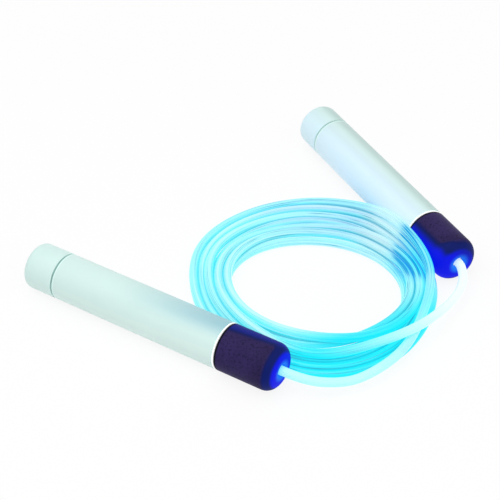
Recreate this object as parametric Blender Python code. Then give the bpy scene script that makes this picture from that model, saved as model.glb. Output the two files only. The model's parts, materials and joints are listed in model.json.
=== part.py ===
"""Light-up jump rope: two torch-like handles on one clear cord, laid out on a flat surface.

Metres, +Z up. The origin lies on the surface, under the middle of the box round both handles.
Each handle is turned about its own axis: its local +Z points out of the nose, along the cord,
and its local zero is the front face of the nose.
"""
import math

import bmesh
import bpy
from mathutils import Vector

MM = 0.001

# Fits
SEAT_GAP = 0.3 * MM
SLIDE_FIT = 0.3 * MM
SWIVEL_FIT = 0.4 * MM
CRIMP_FIT = 0.3 * MM

# Where the handles lie: the cord's exit from each nose, and the heading of each handle
EXIT_A = Vector((16.20 * MM, -116.45 * MM))
EXIT_B = Vector((118.73 * MM, -26.26 * MM))
HEADING_A = math.radians(-33.0)
HEADING_B = math.radians(-62.5)

# Grip
GRIP_RADIUS = 13.5 * MM
TUBE_WALL = 2.0 * MM
EDGE_EASE = 0.4 * MM

# Nose
NOSE_ROUND = 7.0 * MM
NOSE_WALL = 16.5 * MM
NOSE_SPIGOT_LENGTH = 8.8 * MM
NOSE_SPIGOT_WALL = 1.2 * MM
NOSE_RING_THICKNESS = 0.8 * MM
MOUTH_RADIUS = 3.4 * MM
MOUTH_FLARE = 1.4 * MM
MOUTH_LIP = 3.0 * MM

# Swivel
BUSH_RADIUS = 5.5 * MM
BUSH_FLANGE_RADIUS = 8.0 * MM
BUSH_FLANGE_THICKNESS = 1.5 * MM
WASHER_RADIUS = 7.0 * MM
WASHER_THICKNESS = 0.6 * MM
FERRULE_WALL = 1.6 * MM
FERRULE_LENGTH = 9.0 * MM
FERRULE_FLANGE_RADIUS = 6.0 * MM
FERRULE_FLANGE_THICKNESS = 1.5 * MM

# Lamp
LIGHT_GAP = 1.5 * MM
LAMP_RADIUS = 2.5 * MM
LAMP_LENGTH = 8.6 * MM
LAMP_RIM = 0.4 * MM
LAMP_RIM_THICKNESS = 1.0 * MM
CUP_FLARE = 2.0 * MM
BOARD_THICKNESS = 1.6 * MM
BOARD_INSET = 3.0 * MM
PLATE_RADIUS = 4.5 * MM
PLATE_THICKNESS = 0.6 * MM

# Cells and what holds them
CELL_RADIUS = 5.25 * MM
CELL_LENGTH = 44.5 * MM
CELL_NUB_RADIUS = 1.9 * MM
CELL_NUB_LENGTH = 0.9 * MM
CELL_EXPOSED = 3.0 * MM
SLEEVE_WALL = 1.4 * MM
SLEEVE_FLANGE_THICKNESS = 2.0 * MM
STRIP_WIDTH = 3.0 * MM
STRIP_THICKNESS = 0.5 * MM
STRIP_INSET = 0.2 * MM

# Rear cap, switch and button
CAP_LENGTH = 20.0 * MM
CAP_ROUND = 3.5 * MM
CAP_END_WALL = 3.0 * MM
CAP_SPIGOT_LENGTH = 8.9 * MM
CAP_SPIGOT_WALL = 2.7 * MM
CAP_GASKET_THICKNESS = 0.5 * MM
CAP_GASKET_RECESS = 0.6 * MM
CONTACT_RING_THICKNESS = 0.5 * MM
SPRING_RADIUS = 3.6 * MM
SPRING_WIRE_RADIUS = 0.45 * MM
SPRING_LENGTH = 14.0 * MM
SPRING_TURNS = 4
SWITCH_LENGTH = 13.0 * MM
SWITCH_BORE_DEPTH = 5.0 * MM
BUTTON_RADIUS = 5.2 * MM
BUTTON_RECESS = 0.4 * MM
BUTTON_TRAVEL = 1.5 * MM
BUTTON_FLANGE = 1.6 * MM
BUTTON_FLANGE_THICKNESS = 1.3 * MM
BUTTON_STEM_RADIUS = 2.0 * MM
BUTTON_STEM_REACH = 1.5 * MM

# Cord, its tails and its coil
CORD_RADIUS = 2.6 * MM
CORD_STEP = 8.0 * MM
COIL_CENTRE = Vector((33.9 * MM, -30.8 * MM, 0.0))
COIL_HEADING = math.radians(107.3)
COIL_LONG_RADIUS = 80.6 * MM
COIL_SHORT_RADIUS = 67.6 * MM
COIL_HEIGHT = 9.6 * MM
COIL_HEIGHT_SWING = 3.6 * MM
COIL_CLEARANCE = 1.1 * MM
HOLE_CENTRE = Vector((37.0 * MM, -36.9 * MM, 0.0))
HOLE_HEADING = math.radians(157.3)
HOLE_LONG_RADIUS = 48.7 * MM
HOLE_SHORT_RADIUS = 42.7 * MM
BANK_HEADING = math.radians(28.0)
BANK_SPAN = math.radians(36.0)
BANK_HEIGHT = 20.0 * MM

# Routes of the two tails after their nose: (x, y, z) in millimetres, chosen along the cord
TAIL_A_ROUTE = (
    (25.5, -120.6, 12.2),
    (36.2, -120.6, 9.2),
    (47.5, -118.0, 6.8),
    (57.0, -114.4, 6.0),
    (69.2, -106.0, 6.0),
)
TAIL_B_ROUTE = (
    (120.3, -32.5, 12.7),
    (119.4, -40.4, 11.0),
    (116.0, -48.5, 9.7),
    (110.4, -56.8, 9.4),
    (105.5, -63.1, 9.7),
    (97.3, -72.8, 10.8),
)

# Facets
SHELL_FACETS = 40
INNER_FACETS = 20
ROUND_STEPS = 5
COIL_FACETS = 48
CORD_ROUNDING = 3
WIRE_ROUNDING = 1
SPRING_STEPS = 10
SHARP_ANGLE = math.radians(35)
WELD = 0.001 * MM

# Radii that follow from the sizes above
BORE_RADIUS = GRIP_RADIUS - TUBE_WALL
PLUG_RADIUS = BORE_RADIUS - SLIDE_FIT
NOSE_CAVITY_RADIUS = PLUG_RADIUS - NOSE_SPIGOT_WALL
CUP_RADIUS = NOSE_CAVITY_RADIUS - SLIDE_FIT
CAP_CAVITY_RADIUS = PLUG_RADIUS - CAP_SPIGOT_WALL
CONTACT_RING_INNER = CAP_CAVITY_RADIUS + SLIDE_FIT
CONTACT_RING_OUTER = PLUG_RADIUS - SLIDE_FIT
STRIP_OFFSET = CONTACT_RING_INNER + STRIP_INSET
CORD_BORE_RADIUS = CORD_RADIUS + SWIVEL_FIT
SLEEVE_BORE_RADIUS = CELL_RADIUS + SLIDE_FIT

# Stations along the handle, from the front of the nose back to the rear face
NOSE_FRONT = 0.0
WALL_INNER = NOSE_FRONT - NOSE_WALL
BUSH_FRONT = NOSE_FRONT - MOUTH_LIP - SEAT_GAP
BUSH_SHOULDER = WALL_INNER - SEAT_GAP
BUSH_REAR = BUSH_SHOULDER - BUSH_FLANGE_THICKNESS
WASHER_FRONT = BUSH_REAR - SEAT_GAP
WASHER_REAR = WASHER_FRONT - WASHER_THICKNESS
FERRULE_FRONT = WASHER_REAR - SEAT_GAP
FERRULE_REAR = FERRULE_FRONT - FERRULE_LENGTH
LAMP_TIP = FERRULE_REAR - LIGHT_GAP
LAMP_BASE = LAMP_TIP - LAMP_LENGTH
BOARD_FRONT = LAMP_BASE - SEAT_GAP
BOARD_REAR = BOARD_FRONT - BOARD_THICKNESS
PLATE_FRONT = BOARD_REAR - SEAT_GAP
PLATE_REAR = PLATE_FRONT - PLATE_THICKNESS
FRONT_CELL_TIP = PLATE_REAR - SEAT_GAP
FRONT_CELL_BACK = FRONT_CELL_TIP - CELL_LENGTH
REAR_CELL_TIP = FRONT_CELL_BACK - SEAT_GAP
REAR_CELL_BACK = REAR_CELL_TIP - CELL_LENGTH
SPRING_FRONT = REAR_CELL_BACK - SEAT_GAP
SPRING_REAR = SPRING_FRONT - SPRING_LENGTH
SWITCH_FRONT = SPRING_REAR - SEAT_GAP
SWITCH_REAR = SWITCH_FRONT - SWITCH_LENGTH
BUTTON_FLANGE_FRONT = SWITCH_REAR - SEAT_GAP - BUTTON_TRAVEL
BUTTON_FLANGE_REAR = BUTTON_FLANGE_FRONT - BUTTON_FLANGE_THICKNESS
CAP_WALL_INNER = BUTTON_FLANGE_REAR - SEAT_GAP
REAR_FACE = CAP_WALL_INNER - CAP_END_WALL

# Stations of the shells, which follow from what they hold
NOSE_SPIGOT_REAR = BOARD_REAR - BOARD_INSET
NOSE_SHOULDER = NOSE_SPIGOT_REAR + NOSE_SPIGOT_LENGTH
NOSE_RING_FRONT = NOSE_SHOULDER - SEAT_GAP
NOSE_RING_REAR = NOSE_RING_FRONT - NOSE_RING_THICKNESS
TUBE_FRONT = NOSE_RING_REAR - SEAT_GAP
CAP_SHOULDER = REAR_FACE + CAP_LENGTH
CAP_GASKET_REAR = CAP_SHOULDER + SEAT_GAP
CAP_GASKET_FRONT = CAP_GASKET_REAR + CAP_GASKET_THICKNESS
TUBE_REAR = CAP_GASKET_FRONT + SEAT_GAP
CAP_SPIGOT_FRONT = CAP_SHOULDER + CAP_SPIGOT_LENGTH
CONTACT_RING_REAR = CAP_SPIGOT_FRONT + SEAT_GAP
CONTACT_RING_FRONT = CONTACT_RING_REAR + CONTACT_RING_THICKNESS
SLEEVE_FRONT = NOSE_SPIGOT_REAR - SEAT_GAP
SLEEVE_REAR = REAR_CELL_BACK + CELL_EXPOSED
STRIP_FRONT = BOARD_REAR - SEAT_GAP
STRIP_REAR = CONTACT_RING_FRONT + SEAT_GAP

# Finishes: colour, roughness, metallic
FINISHES = {
    "mint_plastic": ((0.66, 0.83, 0.79), 0.45, 0.0),
    "violet_plastic": ((0.035, 0.028, 0.10), 0.5, 0.0),
    "white_ring": ((0.9, 0.93, 0.92), 0.4, 0.0),
    "grey_rubber": ((0.30, 0.40, 0.39), 0.7, 0.0),
    "white_nylon": ((0.8, 0.8, 0.78), 0.5, 0.0),
    "black_plastic": ((0.02, 0.02, 0.022), 0.5, 0.0),
    "bright_steel": ((0.6, 0.6, 0.6), 0.3, 1.0),
    "brass": ((0.72, 0.53, 0.2), 0.3, 1.0),
    "cell_jacket": ((0.08, 0.10, 0.14), 0.35, 0.6),
    "board_green": ((0.02, 0.16, 0.07), 0.5, 0.0),
    "lamp_resin": ((0.45, 0.65, 0.95), 0.1, 0.0),
    "reflector": ((0.75, 0.77, 0.8), 0.2, 1.0),
    "clear_cord": ((0.35, 0.9, 0.95), 0.2, 0.0),
}


def clear_scene():
    """Remove every object, so that the model starts from an empty scene."""
    for item in list(bpy.data.objects):
        bpy.data.objects.remove(item)


def finish(name):
    """Return the named finish as a material, made on first use."""
    material = bpy.data.materials.get(name)
    if material is None:
        colour, roughness, metallic = FINISHES[name]
        material = bpy.data.materials.new(name)
        material.use_nodes = True
        shader = material.node_tree.nodes["Principled BSDF"]
        shader.inputs["Base Color"].default_value = (*colour, 1.0)
        shader.inputs["Roughness"].default_value = roughness
        shader.inputs["Metallic"].default_value = metallic
    return material


def add_object(name, data, finish_name, parent=None):
    """Link a new object with its finish, under an optional parent."""
    item = bpy.data.objects.new(name, data)
    data.materials.append(finish(finish_name))
    item.parent = parent
    bpy.context.collection.objects.link(item)
    return item


def mesh_from(bm, name):
    """Turn a bmesh into a smooth-shaded mesh with its faces pointing out."""
    bmesh.ops.recalc_face_normals(bm, faces=bm.faces)
    mesh = bpy.data.meshes.new(name)
    bm.to_mesh(mesh)
    bm.free()
    mesh.shade_smooth()
    mesh.set_sharp_from_angle(angle=SHARP_ANGLE)
    return mesh


def spin_profile(profile, facets):
    """Spin a closed outline of (radius, station) points about the local Z axis."""
    bm = bmesh.new()
    corners = [bm.verts.new((radius, 0.0, station)) for radius, station in profile]
    edges = [bm.edges.new(pair) for pair in zip(corners, corners[1:] + corners[:1])]
    bmesh.ops.spin(
        bm,
        geom=corners + edges,
        cent=(0.0, 0.0, 0.0),
        axis=(0.0, 0.0, 1.0),
        angle=math.tau,
        steps=facets,
        use_merge=True,
    )
    bmesh.ops.remove_doubles(bm, verts=bm.verts, dist=WELD)
    return bm


def turned(name, profile, finish_name, parent, facets=INNER_FACETS):
    """Add a turned piece on the axis of its parent."""
    bm = spin_profile(profile, facets)
    return add_object(name, mesh_from(bm, name), finish_name, parent)


def solid_of(steps):
    """Close an outline that runs from rear to front with the axis itself."""
    return [(0.0, steps[0][1]), *steps, (0.0, steps[-1][1])]


def quarter(centre_radius, centre_station, radius, start, end):
    """Points of a round edge, by angle from the radial direction towards the front."""
    points = []
    for step in range(ROUND_STEPS + 1):
        angle = math.radians(start + (end - start) * step / ROUND_STEPS)
        points.append((centre_radius + radius * math.cos(angle), centre_station + radius * math.sin(angle)))
    return points


def hollow(inner, outer, rear, front):
    """Outline of a plain ring."""
    return [(inner, rear), (outer, rear), (outer, front), (inner, front)]


def add_axis(name, exit_point, heading):
    """Add the empty that carries one handle: on the axis, at the front of the nose."""
    axis = bpy.data.objects.new(name, None)
    axis.empty_display_size = GRIP_RADIUS
    axis.location = (exit_point.x, exit_point.y, GRIP_RADIUS)
    axis.rotation_euler = (math.pi / 2, 0.0, heading + math.pi / 2)
    bpy.context.collection.objects.link(axis)
    return axis


def add_tube(side, axis):
    """The grip: a plain tube with eased ends."""
    profile = [
        (BORE_RADIUS, TUBE_REAR),
        (GRIP_RADIUS - EDGE_EASE, TUBE_REAR),
        (GRIP_RADIUS, TUBE_REAR + EDGE_EASE),
        (GRIP_RADIUS, TUBE_FRONT - EDGE_EASE),
        (GRIP_RADIUS - EDGE_EASE, TUBE_FRONT),
        (BORE_RADIUS, TUBE_FRONT),
    ]
    turned(f"handle_tube_{side}", profile, "mint_plastic", axis, SHELL_FACETS)


def add_nose(side, axis):
    """Nose cap with its spigot, its cavity, the seat of the bush and the flared mouth."""
    bush_bore = BUSH_RADIUS + SLIDE_FIT
    lip_rear = NOSE_FRONT - MOUTH_LIP
    profile = [
        (NOSE_CAVITY_RADIUS, NOSE_SPIGOT_REAR),
        (PLUG_RADIUS, NOSE_SPIGOT_REAR),
        (PLUG_RADIUS, NOSE_SHOULDER),
        (GRIP_RADIUS - EDGE_EASE, NOSE_SHOULDER),
        (GRIP_RADIUS, NOSE_SHOULDER + EDGE_EASE),
        *quarter(GRIP_RADIUS - NOSE_ROUND, NOSE_FRONT - NOSE_ROUND, NOSE_ROUND, 0, 90),
        (MOUTH_RADIUS + MOUTH_FLARE, NOSE_FRONT),
        (MOUTH_RADIUS, NOSE_FRONT - MOUTH_FLARE),
        (MOUTH_RADIUS, lip_rear),
        (bush_bore, lip_rear),
        (bush_bore, WALL_INNER),
        (NOSE_CAVITY_RADIUS, WALL_INNER),
    ]
    turned(f"nose_cap_{side}", profile, "violet_plastic", axis, SHELL_FACETS)
    ring = hollow(PLUG_RADIUS + SLIDE_FIT, GRIP_RADIUS, NOSE_RING_REAR, NOSE_RING_FRONT)
    turned(f"nose_ring_{side}", ring, "white_ring", axis, SHELL_FACETS)


def add_swivel(side, axis):
    """What turns in the nose: the bush stays with the handle, washer and ferrule with the cord."""
    bush = [
        (CORD_BORE_RADIUS, BUSH_REAR),
        (BUSH_FLANGE_RADIUS, BUSH_REAR),
        (BUSH_FLANGE_RADIUS, BUSH_SHOULDER),
        (BUSH_RADIUS, BUSH_SHOULDER),
        (BUSH_RADIUS, BUSH_FRONT),
        (CORD_BORE_RADIUS, BUSH_FRONT),
    ]
    turned(f"swivel_bush_{side}", bush, "white_nylon", axis)
    washer = hollow(CORD_BORE_RADIUS, WASHER_RADIUS, WASHER_REAR, WASHER_FRONT)
    turned(f"thrust_washer_{side}", washer, "bright_steel", axis)
    bore = CORD_RADIUS + CRIMP_FIT
    ferrule = [
        (bore, FERRULE_REAR),
        (bore + FERRULE_WALL, FERRULE_REAR),
        (bore + FERRULE_WALL, FERRULE_FRONT - FERRULE_FLANGE_THICKNESS),
        (FERRULE_FLANGE_RADIUS, FERRULE_FRONT - FERRULE_FLANGE_THICKNESS),
        (FERRULE_FLANGE_RADIUS, FERRULE_FRONT),
        (bore, FERRULE_FRONT),
    ]
    turned(f"rope_ferrule_{side}", ferrule, "brass", axis)


def add_lamp(side, axis):
    """Lamp on its board, with the cup that keeps its light on the end of the cord."""
    rim_front = LAMP_BASE + LAMP_RIM_THICKNESS
    rim_radius = LAMP_RADIUS + LAMP_RIM
    lamp = [
        (0.0, LAMP_BASE),
        (rim_radius, LAMP_BASE),
        (rim_radius, rim_front),
        (LAMP_RADIUS, rim_front),
        *quarter(0.0, LAMP_TIP - LAMP_RADIUS, LAMP_RADIUS, 0, 90),
    ]
    turned(f"lamp_{side}", lamp, "lamp_resin", axis)
    cup_front = FERRULE_REAR - SEAT_GAP
    cup_throat = rim_front + SEAT_GAP
    cup = [
        (rim_radius + SLIDE_FIT, LAMP_BASE),
        (CUP_RADIUS, LAMP_BASE),
        (CUP_RADIUS, cup_front),
        (LAMP_RADIUS + SLIDE_FIT + CUP_FLARE, cup_front),
        (LAMP_RADIUS + SLIDE_FIT, cup_throat),
        (rim_radius + SLIDE_FIT, cup_throat),
    ]
    turned(f"light_cup_{side}", cup, "reflector", axis)
    board = solid_of([(CUP_RADIUS, BOARD_REAR), (CUP_RADIUS, BOARD_FRONT)])
    turned(f"lamp_board_{side}", board, "board_green", axis)
    plate = solid_of([(PLATE_RADIUS, PLATE_REAR), (PLATE_RADIUS, PLATE_FRONT)])
    turned(f"contact_plate_{side}", plate, "brass", axis)


def add_cells(side, axis):
    """Two cells in line, nubs forward."""
    for place, tip in (("front", FRONT_CELL_TIP), ("rear", REAR_CELL_TIP)):
        shoulder = tip - CELL_NUB_LENGTH
        cell = solid_of([
            (CELL_RADIUS, tip - CELL_LENGTH),
            (CELL_RADIUS, shoulder),
            (CELL_NUB_RADIUS, shoulder),
            (CELL_NUB_RADIUS, tip),
        ])
        turned(f"cell_{place}_{side}", cell, "cell_jacket", axis)


def add_bar(name, width, inner, outer, rear, front, finish_name, parent):
    """Add a straight bar that lies over the axis, between two heights above it."""
    bm = bmesh.new()
    bmesh.ops.create_cube(bm, size=1.0)
    bmesh.ops.scale(bm, vec=(width, outer - inner, front - rear), verts=bm.verts)
    bmesh.ops.translate(bm, vec=(0.0, (inner + outer) / 2, (front + rear) / 2), verts=bm.verts)
    return add_object(name, mesh_from(bm, name), finish_name, parent)


def add_sleeve(side, axis):
    """Sleeve that centres the cells on three flanges, and the return strip through the flanges."""
    tube_radius = SLEEVE_BORE_RADIUS + SLEEVE_WALL
    middle = (SLEEVE_REAR + SLEEVE_FRONT) / 2
    half = SLEEVE_FLANGE_THICKNESS / 2
    profile = [
        (SLEEVE_BORE_RADIUS, SLEEVE_REAR),
        (PLUG_RADIUS, SLEEVE_REAR),
        (PLUG_RADIUS, SLEEVE_REAR + SLEEVE_FLANGE_THICKNESS),
        (tube_radius, SLEEVE_REAR + SLEEVE_FLANGE_THICKNESS),
        (tube_radius, middle - half),
        (PLUG_RADIUS, middle - half),
        (PLUG_RADIUS, middle + half),
        (tube_radius, middle + half),
        (tube_radius, SLEEVE_FRONT - SLEEVE_FLANGE_THICKNESS),
        (PLUG_RADIUS, SLEEVE_FRONT - SLEEVE_FLANGE_THICKNESS),
        (PLUG_RADIUS, SLEEVE_FRONT),
        (SLEEVE_BORE_RADIUS, SLEEVE_FRONT),
    ]
    sleeve = turned(f"battery_sleeve_{side}", profile, "black_plastic", axis)
    strip_top = STRIP_OFFSET + STRIP_THICKNESS
    add_bar(
        f"return_strip_{side}",
        STRIP_WIDTH,
        STRIP_OFFSET,
        strip_top,
        STRIP_REAR,
        STRIP_FRONT,
        "brass",
        axis,
    )
    window = add_bar(
        f"strip_window_{side}",
        STRIP_WIDTH + 2 * SLIDE_FIT,
        STRIP_OFFSET - SLIDE_FIT,
        strip_top + SLIDE_FIT,
        SLEEVE_REAR - SLEEVE_FLANGE_THICKNESS,
        SLEEVE_FRONT + SLEEVE_FLANGE_THICKNESS,
        "black_plastic",
        axis,
    )
    window.hide_render = True
    window.display_type = "WIRE"
    cut = sleeve.modifiers.new("strip_window", "BOOLEAN")
    cut.operation = "DIFFERENCE"
    cut.object = window


def add_rear_cap(side, axis):
    """Rear cap with its plug, its gasket in the seam and the contact ring on its front."""
    button_hole = BUTTON_RADIUS + SLIDE_FIT
    profile = [
        (CAP_CAVITY_RADIUS, CAP_WALL_INNER),
        (button_hole, CAP_WALL_INNER),
        (button_hole, REAR_FACE),
        *quarter(GRIP_RADIUS - CAP_ROUND, REAR_FACE + CAP_ROUND, CAP_ROUND, -90, 0),
        (GRIP_RADIUS, CAP_SHOULDER - EDGE_EASE),
        (GRIP_RADIUS - EDGE_EASE, CAP_SHOULDER),
        (PLUG_RADIUS, CAP_SHOULDER),
        (PLUG_RADIUS, CAP_SPIGOT_FRONT),
        (CAP_CAVITY_RADIUS, CAP_SPIGOT_FRONT),
    ]
    turned(f"rear_cap_{side}", profile, "mint_plastic", axis, SHELL_FACETS)
    gasket_radius = GRIP_RADIUS - CAP_GASKET_RECESS
    gasket = hollow(PLUG_RADIUS + SLIDE_FIT, gasket_radius, CAP_GASKET_REAR, CAP_GASKET_FRONT)
    turned(f"cap_gasket_{side}", gasket, "grey_rubber", axis, SHELL_FACETS)
    ring = hollow(CONTACT_RING_INNER, CONTACT_RING_OUTER, CONTACT_RING_REAR, CONTACT_RING_FRONT)
    turned(f"contact_ring_{side}", ring, "brass", axis)


def add_switch(side, axis):
    """Push button in the rear face, the switch that it works and the spring on the switch."""
    stem_front = SWITCH_REAR + BUTTON_STEM_REACH
    flange_radius = BUTTON_RADIUS + BUTTON_FLANGE
    button = solid_of([
        (BUTTON_RADIUS - EDGE_EASE, REAR_FACE + BUTTON_RECESS),
        (BUTTON_RADIUS, REAR_FACE + BUTTON_RECESS + EDGE_EASE),
        (BUTTON_RADIUS, BUTTON_FLANGE_REAR),
        (flange_radius, BUTTON_FLANGE_REAR),
        (flange_radius, BUTTON_FLANGE_FRONT),
        (BUTTON_STEM_RADIUS, BUTTON_FLANGE_FRONT),
        (BUTTON_STEM_RADIUS, stem_front),
    ])
    turned(f"switch_button_{side}", button, "grey_rubber", axis)
    bore_radius = BUTTON_STEM_RADIUS + SLIDE_FIT
    bore_front = SWITCH_REAR + SWITCH_BORE_DEPTH
    body_radius = CAP_CAVITY_RADIUS - SLIDE_FIT
    body = [
        (0.0, bore_front),
        (bore_radius, bore_front),
        (bore_radius, SWITCH_REAR),
        (body_radius, SWITCH_REAR),
        (body_radius, SWITCH_FRONT),
        (0.0, SWITCH_FRONT),
    ]
    turned(f"switch_module_{side}", body, "black_plastic", axis)
    add_spring(side, axis)


def add_tube_curve(name, points, radius, rounding, finish_name, parent=None):
    """Add a round solid with closed ends along a run of points."""
    curve = bpy.data.curves.new(name, "CURVE")
    curve.dimensions = "3D"
    curve.bevel_depth = radius
    curve.bevel_resolution = rounding
    curve.use_fill_caps = True
    spline = curve.splines.new("POLY")
    spline.points.add(len(points) - 1)
    for slot, point in zip(spline.points, points):
        slot.co = (*point, 1.0)
    return add_object(name, curve, finish_name, parent)


def add_spring(side, axis):
    """Open-coiled contact spring between the switch and the rear cell."""
    count = SPRING_TURNS * SPRING_STEPS
    low = SPRING_REAR + SPRING_WIRE_RADIUS
    rise = SPRING_LENGTH - 2 * SPRING_WIRE_RADIUS
    points = []
    for step in range(count + 1):
        angle = math.tau * step / SPRING_STEPS
        height = low + rise * step / count
        points.append((SPRING_RADIUS * math.cos(angle), SPRING_RADIUS * math.sin(angle), height))
    add_tube_curve(f"contact_spring_{side}", points, SPRING_WIRE_RADIUS, WIRE_ROUNDING, "bright_steel", axis)


def heading_vector(heading):
    """Unit vector of a heading in the plane of the surface."""
    return Vector((math.cos(heading), math.sin(heading), 0.0))


def smooth_run(knots, step):
    """Points about one step apart on a smooth curve through the knots."""
    ends = [2 * knots[0] - knots[1], *knots, 2 * knots[-1] - knots[-2]]
    run = []
    for before, here, there, after in zip(ends, ends[1:], ends[2:], ends[3:]):
        pieces = max(1, round((there - here).length / step))
        for piece in range(pieces):
            t = piece / pieces
            pull = (there - before) * t + (2 * before - 5 * here + 4 * there - after) * t * t
            swing = (3 * here - before - 3 * there + after) * t * t * t
            run.append(here + (pull + swing) / 2)
    run.append(knots[-1])
    return run


def add_tail(side, exit_point, heading, route):
    """Cord from its crimped end, through the nose and down to the coil."""
    ahead = heading_vector(heading)
    mouth = Vector((exit_point.x, exit_point.y, GRIP_RADIUS))
    crimped_end = mouth + ahead * FERRULE_REAR
    knots = [crimped_end, mouth, *[Vector(point) * MM for point in route]]
    run = smooth_run(knots, CORD_STEP)
    add_tube_curve(f"rope_tail_{side}", run, CORD_RADIUS, CORD_ROUNDING, "clear_cord")


def oval(centre, heading, long_radius, short_radius, direction):
    """Point of an oval's edge, towards one direction."""
    along = heading_vector(heading)
    across = Vector((-along.y, along.x, 0.0))
    turn = direction - heading
    return centre + along * (long_radius * math.cos(turn)) + across * (short_radius * math.sin(turn))


def clear_of_handle(place, exit_point, heading):
    """Move a point of the coil sideways, clear of a handle that the coil leans on."""
    ahead = heading_vector(heading)
    coilward = Vector((-ahead.y, ahead.x, 0.0))
    mouth = Vector((exit_point.x, exit_point.y, GRIP_RADIUS))
    if coilward.dot(COIL_CENTRE - mouth) < 0:
        coilward.negate()
    away = place - mouth
    below = min(0.0, away.z)
    width = math.sqrt((GRIP_RADIUS + COIL_CLEARANCE) ** 2 - below**2)
    if away.dot(ahead) > 0:
        return place
    return place + coilward * max(0.0, width - away.dot(coilward))


def coil_point(direction, share, level):
    """Point of the coil at a share of its width and a level of its height, towards one direction."""
    inner = oval(HOLE_CENTRE, HOLE_HEADING, HOLE_LONG_RADIUS, HOLE_SHORT_RADIUS, direction)
    outer = oval(COIL_CENTRE, COIL_HEADING, COIL_LONG_RADIUS, COIL_SHORT_RADIUS, direction)
    turn = math.remainder(direction - BANK_HEADING, math.tau)
    bank = BANK_HEIGHT * math.exp(-((turn / BANK_SPAN) ** 2))
    height = COIL_HEIGHT - COIL_HEIGHT_SWING * math.sin(direction) + bank * share
    place = inner.lerp(outer, share)
    place.z = level * height
    for exit_point, heading in ((EXIT_A, HEADING_A), (EXIT_B, HEADING_B)):
        place = clear_of_handle(place, exit_point, heading)
    return place


def add_coil():
    """The coiled turns as one ring: low at the back, high at the front, banked up against the second handle."""
    section = [
        (0.15, 0.0), (0.85, 0.0), (0.97, 0.2), (1.0, 0.5), (0.93, 0.8),
        (0.75, 1.0), (0.25, 1.0), (0.07, 0.8), (0.0, 0.5), (0.03, 0.2),
    ]
    hub = 1.0
    bm = spin_profile([(hub + share, level) for share, level in section], COIL_FACETS)
    for vert in bm.verts:
        direction = math.atan2(vert.co.y, vert.co.x)
        vert.co = coil_point(direction, vert.co.to_2d().length - hub, vert.co.z)
    add_object("rope_coil", mesh_from(bm, "rope_coil"), "clear_cord")


def add_handle(side, exit_point, heading):
    """All pieces of one handle, and what is crimped on the cord inside it."""
    axis = add_axis(f"handle_axis_{side}", exit_point, heading)
    add_tube(side, axis)
    add_nose(side, axis)
    add_swivel(side, axis)
    add_lamp(side, axis)
    add_cells(side, axis)
    add_sleeve(side, axis)
    add_rear_cap(side, axis)
    add_switch(side, axis)


def main():
    """Build the jump rope."""
    clear_scene()
    add_handle("a", EXIT_A, HEADING_A)
    add_handle("b", EXIT_B, HEADING_B)
    add_tail("a", EXIT_A, HEADING_A, TAIL_A_ROUTE)
    add_tail("b", EXIT_B, HEADING_B, TAIL_B_ROUTE)
    add_coil()


main()
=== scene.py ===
"""Looks of the light-up jump rope: finishes, shells, cord and studio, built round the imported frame.

Metres, +Z up, in the frame's own coordinates. Plans of the cord are in millimetres, as they were chosen.
"""
import json
import logging
import math
from dataclasses import dataclass
from enum import Enum
from typing import Any

import bmesh
import bpy
import numpy as np
from mathutils import Matrix, Vector


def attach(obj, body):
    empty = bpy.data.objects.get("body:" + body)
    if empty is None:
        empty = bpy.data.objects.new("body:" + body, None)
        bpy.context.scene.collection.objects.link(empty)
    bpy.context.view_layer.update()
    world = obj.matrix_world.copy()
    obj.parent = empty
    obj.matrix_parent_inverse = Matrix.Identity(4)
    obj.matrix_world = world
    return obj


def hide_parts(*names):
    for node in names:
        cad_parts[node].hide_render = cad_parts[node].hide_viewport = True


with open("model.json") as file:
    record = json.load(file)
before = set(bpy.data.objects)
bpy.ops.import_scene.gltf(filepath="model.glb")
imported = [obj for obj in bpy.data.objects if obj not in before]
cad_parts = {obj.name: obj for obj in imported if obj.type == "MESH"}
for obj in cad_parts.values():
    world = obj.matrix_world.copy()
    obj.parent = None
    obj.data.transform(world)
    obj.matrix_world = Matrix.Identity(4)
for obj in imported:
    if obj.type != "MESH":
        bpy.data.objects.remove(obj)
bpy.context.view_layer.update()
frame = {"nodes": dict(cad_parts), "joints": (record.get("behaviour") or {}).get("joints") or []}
LOG = logging.getLogger("jump_rope")
MM = 0.001

Colour = tuple[float, float, float]
Point = tuple[float, float, float]
Range = tuple[float, float]
Outline = list[tuple[float, float]]
BLACK: Colour = (0.0, 0.0, 0.0)
WHITE: Colour = (1.0, 1.0, 1.0)
WELD = 0.001 * MM
MIX_FACTOR, MIX_FIRST, MIX_SECOND, MIX_RESULT = 0, 6, 7, 2


class Side(Enum):
    """The two handles, by the letter at the end of their nodes' names."""

    A = "a"
    B = "b"


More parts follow.
